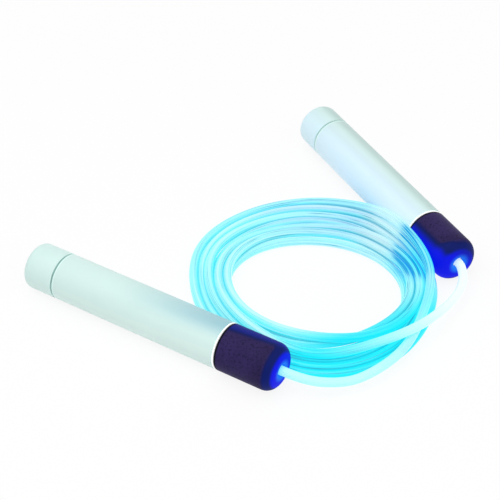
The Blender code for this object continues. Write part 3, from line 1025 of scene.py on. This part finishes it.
    def build(self, finishes: dict[str, bpy.types.Material]) -> None:
        """Build and dress the whole handle.

        Args:
            finishes: The finishes that both handles share, by name.
        """
        place = (self.axis.mouth, self.axis.ahead)
        lip = self.axis.reach("handle_tube")[0]
        mint = PaintedLightTube(f"painted_light_tube_{self.letter}", *place, MINT_PLASTIC, lip, self.tube_light)
        rear = self.shoulder
        violet = GlowingNose(f"glowing_nose_{self.letter}", *place, rear, VIOLET_PLASTIC, self.nose_light)
        finishes = {**finishes, "mint_plastic": mint.material(), "violet_plastic": violet.material()}
        shells = (
            ("grip_tube", self.tube(), "mint_plastic", "handle_tube", "handle"),
            ("nose_shell", self.nose(), "violet_plastic", "nose_cap", "handle"),
            ("white_collar", self.ring(), "white_ring", "nose_ring", "handle"),
            ("rear_cap_shell", self.rear_cap(), "mint_plastic", "rear_cap", "rear_cap"),
            ("seam_gasket", self.gasket(), "grey_rubber", "cap_gasket", "cap_gasket"),
            ("thumb_button", self.button(), "grey_rubber", "switch_button", "button"),
        )
        for name, outline, slot, node, body in shells:
            self.add(name, outline, finishes[slot], slot, node, body)
        self.inner(finishes)


VIOLET_PLASTIC = MouldedPlastic(
    "violet_plastic", (0.033, 0.021, 0.098), (0.010, 0.009, 0.038), 0.55, 0.06 * MM, 60.0, 900.0, 0.8
)
MINT_PLASTIC = MouldedPlastic("mint_plastic", (0.66, 0.85, 0.81), (0.62, 0.83, 0.79))
PLAIN_FINISHES = (
    # The white ring has a painted glow, so that it shows pure white.
    MouldedPlastic("white_ring", (0.97, 0.98, 0.98), (0.94, 0.96, 0.96), 0.3, glow=0.35),
    MouldedPlastic("grey_rubber", (0.30, 0.52, 0.49), (0.26, 0.46, 0.43), 0.7, 0.05 * MM, 80.0),
    MouldedPlastic("white_nylon", (0.80, 0.80, 0.77), (0.74, 0.73, 0.69), 0.5),
    MouldedPlastic("black_plastic", (0.022, 0.022, 0.024), (0.03, 0.03, 0.033), 0.5),
    Metal("bright_steel", (0.62, 0.62, 0.63), (0.5, 0.49, 0.47)),
    Metal("brass", (0.72, 0.53, 0.22), (0.5, 0.35, 0.14)),
    Metal("reflector", (0.76, 0.78, 0.81), (0.68, 0.7, 0.74), 0.14),
    LampResin("lamp_resin"),
    CircuitBoard("board_green"),
)
INNER_FINISHES = {
    "swivel_bush": "white_nylon",
    "lamp": "lamp_resin",
    "light_cup": "reflector",
    "lamp_board": "board_green",
    "contact_plate": "brass",
    "battery_sleeve": "black_plastic",
    "return_strip": "brass",
    "switch_module": "black_plastic",
    "contact_spring": "bright_steel",
    "contact_ring": "brass",
    "rope_ferrule": "brass",
    "thrust_washer": "bright_steel",
}


@dataclass(frozen=True)
class CoilPlan:
    """How the turns lie, in millimetres: the coil's edges by direction, and each turn's place between them.

    A turn's place is a share of the way from the outer to the inner edge, for each quarter of the coil, and a
    layer above the floor. Next to the second nose the strands are banked up against the handle.
    """

    centre: tuple[float, float] = (35.0, -31.0)
    outer: tuple[float, ...] = (68.2, 61.5, 72.0, 78.4, 76.0, 73.0, 65.6, 65.0, 69.0, 77.0, 75.0, 66.5)
    inner: tuple[float, ...] = (54.3, 46.3, 41.5, 40.2, 43.2, 47.8, 50.5, 50.0, 49.5, 51.7, 55.5, 59.0)
    right: tuple[float, ...] = (0.0, 0.22, 0.45, 0.66, 0.97, 0.80, 0.62)
    back: tuple[float, ...] = (0.0, 1 / 6, 2 / 6, 3 / 6, 1.0, 5 / 6, 4 / 6)
    left: tuple[float, ...] = (0.0, 0.16, 0.43, 0.64, 0.97, 0.98, 0.80)
    front: tuple[float, ...] = (0.0, 0.2, 0.4, 0.6, 0.84, 1.0, 0.32)
    right_layer: tuple[float, ...] = (0, 0, 0, 0, 0, 0.8, 0.8)
    back_layer: tuple[float, ...] = (0, 0, 0, 0, 0, 0, 0)
    left_layer: tuple[float, ...] = (0, 0, 1, 0, 0, 1, 1)
    front_layer: tuple[float, ...] = (0, 0, 0, 0, 0, 1, 1.1)
    floor: float = 2.7
    layer: float = 4.5
    bank_height: float = 19.0
    bank_angle: float = 28.0
    bank_span: float = 34.0
    bank_share: float = 0.8
    bank_bunch: float = 0.5

    def knots(self) -> np.ndarray:
        """Work out the points of all turns, from the right of the first to the front of the last.

        Returns:
            Points in millimetres, as many for each turn as the edges have directions.
        """
        steps = len(self.outer)
        turns = len(self.back)
        quarters = np.arange(4 * turns)
        shares = np.stack([self.right, self.back, self.left, self.front], 1).ravel()
        layers = np.stack([self.right_layer, self.back_layer, self.left_layer, self.front_layer], 1).ravel()
        points = []
        for count in range(turns * steps - steps // 4 + 1):
            quarter = 4 * count / steps
            share = np.interp(quarter, quarters, shares)
            height = self.floor + self.layer * np.interp(quarter, quarters, layers)
            degrees = 360 * count / steps
            offset = (degrees - self.bank_angle + 180) % 360 - 180
            bank = math.exp(-((offset / self.bank_span) ** 2))
            outer = self.outer[count % steps]
            inner = self.inner[count % steps]
            radius = outer + (inner - outer) * share ** (1 + self.bank_bunch * bank)
            height += self.bank_height * bank * max(0.0, 1 - share / self.bank_share)
            angle = math.radians(degrees)
            x = self.centre[0] + radius * math.cos(angle)
            y = self.centre[1] + radius * math.sin(angle)
            points.append((x, y, height))
        return np.array(points)


def smooth_run(knots: np.ndarray, step: float) -> np.ndarray:
    """Points about one step apart on a smooth curve through the knots.

    Args:
        knots: Points to pass through.
        step: Distance between the points that are returned.

    Returns:
        The points.
    """
    ends = np.vstack([2 * knots[0] - knots[1], knots, 2 * knots[-1] - knots[-2]])
    run = []
    for before, here, there, after in zip(ends, ends[1:], ends[2:], ends[3:]):
        pieces = max(1, round(float(np.linalg.norm(there - here)) / step))
        t = np.arange(pieces)[:, None] / pieces
        pull = (there - before) * t + (2 * before - 5 * here + 4 * there - after) * t**2
        swing = (3 * here - before - 3 * there + after) * t**3
        run.append(here + (pull + swing) / 2)
    run.append(knots[-1:])
    return np.vstack(run)


def evenly(points: np.ndarray, step: float) -> np.ndarray:
    """Space the points of a run evenly.

    Args:
        points: The run.
        step: Distance between the points that are returned.

    Returns:
        The same run with points one step apart.
    """
    lengths = np.linalg.norm(np.diff(points, axis=0), axis=1)
    travelled = np.concatenate([[0.0], np.cumsum(lengths)])
    places = np.linspace(0.0, travelled[-1], round(travelled[-1] / step) + 1)
    return np.stack([np.interp(places, travelled, points[:, axis]) for axis in range(3)], 1)


def softened(rows: np.ndarray, spread: float) -> np.ndarray:
    """Smooth each column along a run.

    Args:
        rows: One row for each point of the run.
        spread: Spread of the smoothing bell, in points.

    Returns:
        The smoothed rows.
    """
    half = math.ceil(3 * spread)
    bell = np.exp(-0.5 * (np.arange(-half, half + 1) / spread) ** 2)
    bell /= bell.sum()
    padded = np.pad(rows, ((half, half), (0, 0)), mode="edge")
    return np.stack([np.convolve(padded[:, axis], bell, mode="valid") for axis in range(rows.shape[1])], 1)


@dataclass
class Settling:
    """Lets the planned cord settle: strands keep clear of each other, of the floor and of the handles."""

    diameter: float
    step: float
    axes: list[TurnedAxis]
    grip_radius: float = 13.5
    grip_length: float = 165.0
    rounds: int = 300
    sink: float = 0.03
    hold: float = 0.02
    gain: float = 1.6
    sideways: float = 0.6
    spread: float = 18.0
    stiffness: float = 0.25
    stiff_length: float = 12.0
    softening: float = 15.0
    last_softening: float = 4.0
    clearance: float = 0.15
    floor_gap: float = 0.05
    handle_gain: float = 1.5
    mouth_reach: float = 1.0
    apart_after: float = 3.0
    release: float = 55.0
    mouth_release: float = 5.0

    def run(self, planned: np.ndarray, tails: tuple[float, float], mouth: float) -> np.ndarray:
        """Settle a planned run.

        Args:
            planned: Points one step apart, in millimetres.
            tails: Lengths at the start and the end that lead into the coil.
            mouth: Length inside each nose, which stays as planned.

        Returns:
            The settled points.
        """
        free = self.freedom(len(planned), tails, self.release)
        once = softened(planned, self.softening / self.step)
        rest = planned + (2 * once - softened(once, self.softening / self.step) - planned) * free
        self.lift(rest, free)
        points = rest.copy()
        for count in range(self.rounds):
            fade = 1 - count / self.rounds
            early = count < self.rounds / 2
            push = self.apart(points, self.sideways if early else 1.0) + self.off_handles(points, free)
            push += self.hold * fade * (rest - points)
            push[:, 2] -= self.sink * fade
            moved = points - rest + softened(push, self.spread / self.step) * free
            moved -= self.stiffness * (moved - softened(moved, self.stiff_length / self.step)) * free
            points = rest + moved
            self.lift(points, free)
        held = mouth + self.mouth_release
        loose = self.freedom(len(points), (held, held), self.mouth_release)
        return points + (softened(points, self.last_softening / self.step) - points) * loose

    def lift(self, points: np.ndarray, free: np.ndarray) -> None:
        """Raise what lies in the floor.

        Args:
            points: The run, which is changed in place.
            free: How free each point is.
        """
        floor = self.diameter / 2 + self.floor_gap
        low = (points[:, 2] < floor) & (free[:, 0] > 0)
        points[low, 2] = floor

    def freedom(self, count: int, tails: tuple[float, float], release: float) -> np.ndarray:
        """How free each point is to move.

        Args:
            count: Number of points.
            tails: Lengths at the start and the end where the freedom is not yet full.
            release: Length over which it grows.

        Returns:
            Shares from none to all, one row for each point.
        """
        travelled = np.arange(count) * self.step
        start = (travelled - tails[0] + release) / release
        end = (travelled[-1] - travelled - tails[1] + release) / release
        share = np.clip(start, 0, 1) * np.clip(end, 0, 1)
        return (share * share * (3 - 2 * share))[:, None]

    def apart(self, points: np.ndarray, sideways: float) -> np.ndarray:
        """Pushes that part strands lying in each other.

        Args:
            points: The run.
            sideways: Share of the push that acts in the plane of the floor.

        Returns:
            One push for each point.
        """
        count = len(points)
        order = np.arange(count)
        squares = (points**2).sum(1)
        gaps = squares[:, None] + squares[None] - 2 * points @ points.T
        skip = math.ceil(self.apart_after * self.diameter / self.step)
        distant = np.abs(order[:, None] - order[None]) > skip
        one, other = np.nonzero(np.triu((gaps < self.diameter**2) & distant))
        push = np.zeros_like(points)
        touched = np.zeros(count)
        if len(one) == 0:
            return push
        between = points[one] - points[other]
        gap = np.linalg.norm(between, axis=1, keepdims=True)
        move = 0.5 * (self.diameter - gap) * between / np.maximum(gap, 1e-6)
        move[:, :2] *= sideways
        np.add.at(push, one, move)
        np.add.at(push, other, -move)
        np.add.at(touched, one, 1)
        np.add.at(touched, other, 1)
        scale = np.minimum(touched, 2) / np.maximum(touched, 1)
        return push * scale[:, None] * self.gain

    def off_handles(self, points: np.ndarray, free: np.ndarray) -> np.ndarray:
        """Pushes that keep the strands out of the handles.

        Args:
            points: The run.
            free: How free each point is.

        Returns:
            One push for each point.
        """
        push = np.zeros_like(points)
        keep = self.grip_radius + self.diameter / 2 + self.clearance
        for axis in self.axes:
            ahead = np.array(axis.ahead)
            away = points - np.array(axis.mouth) / MM
            along = away @ ahead
            across = away - along[:, None] * ahead
            gap = np.linalg.norm(across, axis=1)
            beside = (along < self.mouth_reach) & (along > -self.grip_length)
            inside = beside & (gap < keep) & (free[:, 0] > 0)
            depth = (keep - gap[inside]) / gap[inside]
            push[inside] += self.handle_gain * across[inside] * depth[:, None]
        return push


@dataclass
class JumpCord:
    """The one cord: tail from the first nose, seven turns, tail to the second nose. Routes in millimetres."""

    plan: CoilPlan
    diameter: float = 5.2
    length: float = 2.845
    curve_step: float = 1.0
    step: float = 3.0
    crimped: float = 28.5
    rounding: int = 7
    fine_step: float = 2.0
    streak_pace: float = 3.0
    # Reach of the painted shade where strands touch, in millimetres.
    groove: float = 0.9
    crowd_after: float = 3.0
    crowd_reach: float = 1.3
    crowd_full: float = 3.0
    batch: int = 2000
    light_places: tuple[Point, ...] = (
        (35.0, -75.0, 0.0),
        (35.0, 15.0, 0.0),
        (103.0, -16.0, 14.0),
        (87.0, 10.0, 10.0),
    )
    tail_a: tuple[Point, ...] = (
        (25.5, -120.6, 12.2),
        (36.2, -120.6, 9.2),
        (47.5, -118.0, 6.8),
        (57.0, -114.4, 6.0),
        (69.2, -106.0, 6.0),
    )
    tail_b: tuple[Point, ...] = (
        (120.3, -32.5, 12.7),
        (119.4, -40.4, 11.0),
        (116.0, -48.5, 9.7),
        (110.4, -56.8, 9.4),
        (105.5, -63.1, 9.7),
        (97.3, -72.8, 10.8),
    )
    lead_a: tuple[Point, ...] = ((80.5, -93.2, 5.0), (89.8, -76.4, 5.5))
    lead_b: tuple[Point, ...] = ((90.6, -78.6, 11.2), (84.6, -84.3, 11.4))

    def tail(self, axis: TurnedAxis, route: tuple[Point, ...]) -> np.ndarray:
        """Work out a tail's knots from its crimped end in the nose to the coil.

        Args:
            axis: The handle's axis.
            route: The knots outside the nose.

        Returns:
            The knots in millimetres.
        """
        mouth = np.array(axis.mouth) / MM
        end = mouth - np.array(axis.ahead) * self.crimped
        return np.vstack([end, mouth, np.array(route)])

    def path(self, axes: list[TurnedAxis]) -> np.ndarray:
        """Lay the cord.

        Args:
            axes: The axes of both handles.

        Returns:
            The settled centreline in metres.
        """
        tails = [self.tail(axes[0], self.tail_a + self.lead_a), self.tail(axes[1], self.tail_b + self.lead_b)]
        knots = np.vstack([tails[0], self.plan.knots(), tails[1][::-1]])
        planned = evenly(smooth_run(knots, self.curve_step), self.step)
        runs = [smooth_run(tail, self.curve_step) for tail in tails]
        fixed = [float(np.linalg.norm(np.diff(run, axis=0), axis=1).sum()) for run in runs]
        settled = Settling(self.diameter, self.step, axes).run(planned, (fixed[0], fixed[1]), self.crimped)
        return evenly(smooth_run(settled, self.curve_step), self.fine_step) * MM

    def mesh(self, path: np.ndarray) -> bpy.types.Mesh:
        """Make the cord's surface: a round curve along the path, turned into a closed mesh.

        Args:
            path: The centreline in metres.

        Returns:
            The mesh.
        """
        curve = bpy.data.curves.new("cord_line", "CURVE")
        curve.dimensions = "3D"
        curve.bevel_depth = self.diameter / 2 * MM
        curve.bevel_resolution = self.rounding
        curve.use_fill_caps = True
        spline = curve.splines.new("POLY")
        spline.points.add(len(path) - 1)
        spline.points.foreach_set("co", np.column_stack([path, np.ones(len(path))]).ravel())
        line = bpy.data.objects.new("cord_line", curve)
        bpy.context.scene.collection.objects.link(line)
        depsgraph = bpy.context.evaluated_depsgraph_get()
        mesh = bpy.data.meshes.new_from_object(line.evaluated_get(depsgraph))
        bpy.data.objects.remove(line)
        bm = bmesh.new()
        bm.from_mesh(mesh)
        bmesh.ops.remove_doubles(bm, verts=bm.verts, dist=WELD)
        bmesh.ops.recalc_face_normals(bm, faces=bm.faces)
        bm.to_mesh(mesh)
        bm.free()
        mesh.name = "cord"
        mesh.shade_smooth()
        return mesh

    def mark(self, mesh: bpy.types.Mesh, path: np.ndarray) -> None:
        """Store on each vertex how far along the cord it is, and how closely other strands face or touch it.

        Args:
            mesh: The cord's surface.
            path: Its centreline, in metres.
        """
        count = len(mesh.vertices)
        places = np.empty(count * 3)
        mesh.vertices.foreach_get("co", places)
        places = places.reshape(-1, 3)
        # The round of a curve with this bevel resolution has this many sides.
        sides = 4 + 2 * self.rounding
        ring = np.minimum(np.arange(count) // sides, len(path) - 1)
        outward = places - path[ring]
        outward /= np.maximum(np.linalg.norm(outward, axis=1, keepdims=True), 1e-9)
        # Crowd feeds the painted deeper glow where strands face each other; touch feeds the painted shade
        # where they touch.
        crowd = np.zeros(count)
        touch = np.zeros(count)
        skip = math.ceil(self.crowd_after * self.diameter / self.fine_step)
        reach = self.crowd_reach * self.diameter * MM
        for start in range(0, count, self.batch):
            rows = slice(start, min(start + self.batch, count))
            toward = path[None] - places[rows, None]
            gap = np.linalg.norm(toward, axis=2)
            gap[np.abs(ring[rows, None] - np.arange(len(path))[None]) <= skip] = 1.0
            facing = np.einsum("ijk,ik->ij", toward, outward[rows]) / np.maximum(gap, 1e-9)
            near = np.exp(-((gap / reach) ** 2)) * np.clip(facing, 0, 1)
            crowd[rows] = near.sum(1)
            touch[rows] = np.exp(-(((gap.min(1) / MM - self.diameter / 2) / self.groove) ** 2))
        crowd = np.clip(crowd / self.crowd_full, 0, 1)
        marks = {"run": ring / (len(path) - 1), "crowd": crowd, "touch": touch}
        for name, numbers in marks.items():
            mesh.attributes.new(name, "FLOAT", "POINT").data.foreach_set("value", numbers.astype(np.float32))
        turn = math.tau * (np.arange(count) % sides) / sides
        thread = np.column_stack([np.cos(turn), np.sin(turn), ring * self.fine_step * MM * self.streak_pace])
        vectors = mesh.attributes.new("thread", "FLOAT_VECTOR", "POINT")
        vectors.data.foreach_set("vector", thread.astype(np.float32).ravel())

    def build(self, axes: list[TurnedAxis]) -> None:
        """Args:
            axes: The axes of both handles.
        """
        path = self.path(axes)
        mesh = self.mesh(path)
        self.mark(mesh, path)
        places = (Vector(place) * MM for place in self.light_places)
        cord = link("cord", mesh, GlowingCord("glowing_cord", self.length, *places).material())
        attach(cord, "rope")
        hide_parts("rope_coil", "rope_tail_a", "rope_tail_b")
        self.diameter * MM
        measured = float(np.linalg.norm(np.diff(path, axis=0), axis=1).sum())
        LOG.info("cord: %.3f m, %d faces", measured, len(mesh.polygons))


@dataclass
class Studio:
    """Pale floor, soft light and the camera at the photograph's angle."""

    target: Point = (-0.715 * MM, 3.644 * MM, 0.0)
    elevation: float = math.radians(38.0)
    distance: float = 0.8886
    lens: float = 108.0
    sensor: float = 36.0
    clip: Range = (0.01, 50.0)
    floor_size: float = 8.0
    floor_cells: int = 8
    floor_colours: tuple[Colour, Colour] = ((0.90, 0.90, 0.90), (0.93, 0.93, 0.93))
    floor_scale: float = 3.0
    floor_roughness: float = 0.9
    ambient: float = 0.60
    lift: float = 0.88
    lamps: tuple[tuple[str, Point, float, float], ...] = (
        ("key", (-0.4, -0.35, 1.5), 1.2, 9.0),
        ("fill", (1.0, -0.9, 1.1), 1.4, 5.5),
        ("sheen", (0.1, 0.35, 1.5), 0.7, 1.5),
    )

    def camera(self) -> None:
        """Place the camera."""
        data = bpy.data.cameras.new("camera")
        data.sensor_width = self.sensor
        data.lens = self.lens
        data.clip_start, data.clip_end = self.clip
        camera = bpy.data.objects.new("camera", data)
        back = Vector((0.0, -math.cos(self.elevation), math.sin(self.elevation)))
        camera.location = Vector(self.target) + back * self.distance
        camera.rotation_mode = "QUATERNION"
        camera.rotation_quaternion = (-back).to_track_quat("-Z", "Y")
        bpy.context.scene.collection.objects.link(camera)
        bpy.context.scene.camera = camera

    def seen(self, nodes: Nodes) -> Value:
        """Tell what is seen from what only gives light.

        Args:
            nodes: The nodes to add it to.

        Returns:
            One where the camera, a reflection or a view through clear plastic meets the surface.
        """
        rays = nodes.add("ShaderNodeLightPath").outputs
        camera = Value(nodes, rays["Is Camera Ray"])
        glossy = Value(nodes, rays["Is Glossy Ray"])
        return camera.greatest(glossy).greatest(Value(nodes, rays["Is Transmission Ray"]))

    def floor(self) -> None:
        """Lay the pale floor: plain to the light, lifted towards white where it is seen."""
        bm = bmesh.new()
        cells = self.floor_cells
        bmesh.ops.create_grid(bm, x_segments=cells, y_segments=cells, size=self.floor_size / 2)
        mesh = bpy.data.meshes.new("floor")
        bm.to_mesh(mesh)
        bm.free()
        shader = Shader("pale_floor")
        shader.set(
            Base_Color=shader.mix(shader.noise(self.floor_scale), *self.floor_colours),
            Roughness=self.floor_roughness,
            Specular_IOR_Level=0.0,
        )
        white = shader.add("ShaderNodeEmission", None, {"Color": WHITE, "Strength": 1.0})
        sockets = {0: self.seen(shader) * self.lift, 1: shader.surface.outputs[0], 2: white.outputs[0]}
        mixed = shader.add("ShaderNodeMixShader", None, sockets)
        output = next(n for n in shader.tree.nodes if n.type == "OUTPUT_MATERIAL")
        shader.plug(output.inputs["Surface"], mixed.outputs[0])
        link("floor", mesh, shader.material)

    def world(self) -> None:
        """Even white surroundings: soft as light, plain white where they are seen."""
        world = bpy.data.worlds.new("studio")
        world.use_nodes = True
        bpy.context.scene.world = world
        nodes = Nodes(world.node_tree)
        background = nodes.tree.nodes["Background"]
        nodes.plug(background.inputs["Color"], WHITE)
        nodes.plug(background.inputs["Strength"], self.ambient + (1.0 - self.ambient) * self.seen(nodes))

    def lamp(self, name: str, place: Point, size: float, power: float) -> None:
        """Hang one soft lamp that faces the object.

        Args:
            name: The lamp's name.
            place: Where it hangs.
            size: Width of its square.
            power: Its power in watts.
        """
        data = bpy.data.lights.new(name, "AREA")
        data.size = size
        data.energy = power
        lamp = bpy.data.objects.new(name, data)
        lamp.location = place
        lamp.rotation_mode = "QUATERNION"
        lamp.rotation_quaternion = (Vector(self.target) - Vector(place)).to_track_quat("-Z", "Y")
        bpy.context.scene.collection.objects.link(lamp)

    def build(self) -> None:
        """Set up the studio."""
        bpy.context.scene.view_settings.view_transform = "Standard"
        self.camera()
        self.floor()
        self.world()
        for lamp in self.lamps:
            self.lamp(*lamp)
        LOG.info("studio set")


def handle_a() -> Handle:
    """Plan the handle in front: its far edge, as the camera sees it, faces the coil.

    Returns:
        The handle.
    """
    coilward = Vector((0.30, 0.58, 0.75)).normalized()
    nose_light = NoseLight(
        coilward=coilward,
        bright_side=Vector((0.0, 0.0, -1.0)),
        far_rim=0.9,
        side_start=9.8 * MM,
        side_glow=0.45,
        slant=0.0,
    )
    # Painted light: the coil's light on the tube near the nose, its far, lower side painted a little lighter.
    tube_light = TubeLight(
        coilward=coilward,
        coil_light_colour=(0.32, 0.57, 0.64),
        glow=BLACK,
        far=(0.70, 0.88, 0.84),
        start=-115.0 * MM,
        end=-30.0 * MM,
        least=0.0,
        side_start=3.0 * MM,
    )
    return Handle(Side.A, nose_light, tube_light)


def handle_b() -> Handle:
    """Plan the handle behind: the coil lies against its nose, on the left.

    Returns:
        The handle.
    """
    nose_light = NoseLight(
        coilward=Vector((-0.80, -0.42, -0.12)).normalized(),
        bright_side=Vector((-0.60, -0.32, -0.73)).normalized(),
        far_rim=0.45,
        side_start=3.5 * MM,
        side_glow=1.0,
        slant=0.45,
    )
    # Painted light: the coil's light and a faint glow on the side that faces the coil, the far side painted
    # darker as shade.
    tube_light = TubeLight(
        coilward=Vector((-0.80, -0.42, 0.10)).normalized(),
        coil_light_colour=(0.66, 0.83, 1.0),
        glow=(0.08, 0.10, 0.09),
        far=(0.48, 0.65, 0.62),
        start=-165.0 * MM,
        end=-90.0 * MM,
        least=0.6,
        side_start=-3.0 * MM,
    )
    return Handle(Side.B, nose_light, tube_light)


def main() -> None:
    """Build the jump rope's looks in order."""
    logging.basicConfig(level=logging.INFO, format="%(name)s: %(message)s")
    Studio().build()
    finishes = {finish.name: finish.material() for finish in PLAIN_FINISHES}
    handles = [handle_a(), handle_b()]
    JumpCord(CoilPlan()).build([handle.axis for handle in handles])
    for handle in handles:
        handle.build(finishes)


if __name__ == "__main__":
    main()
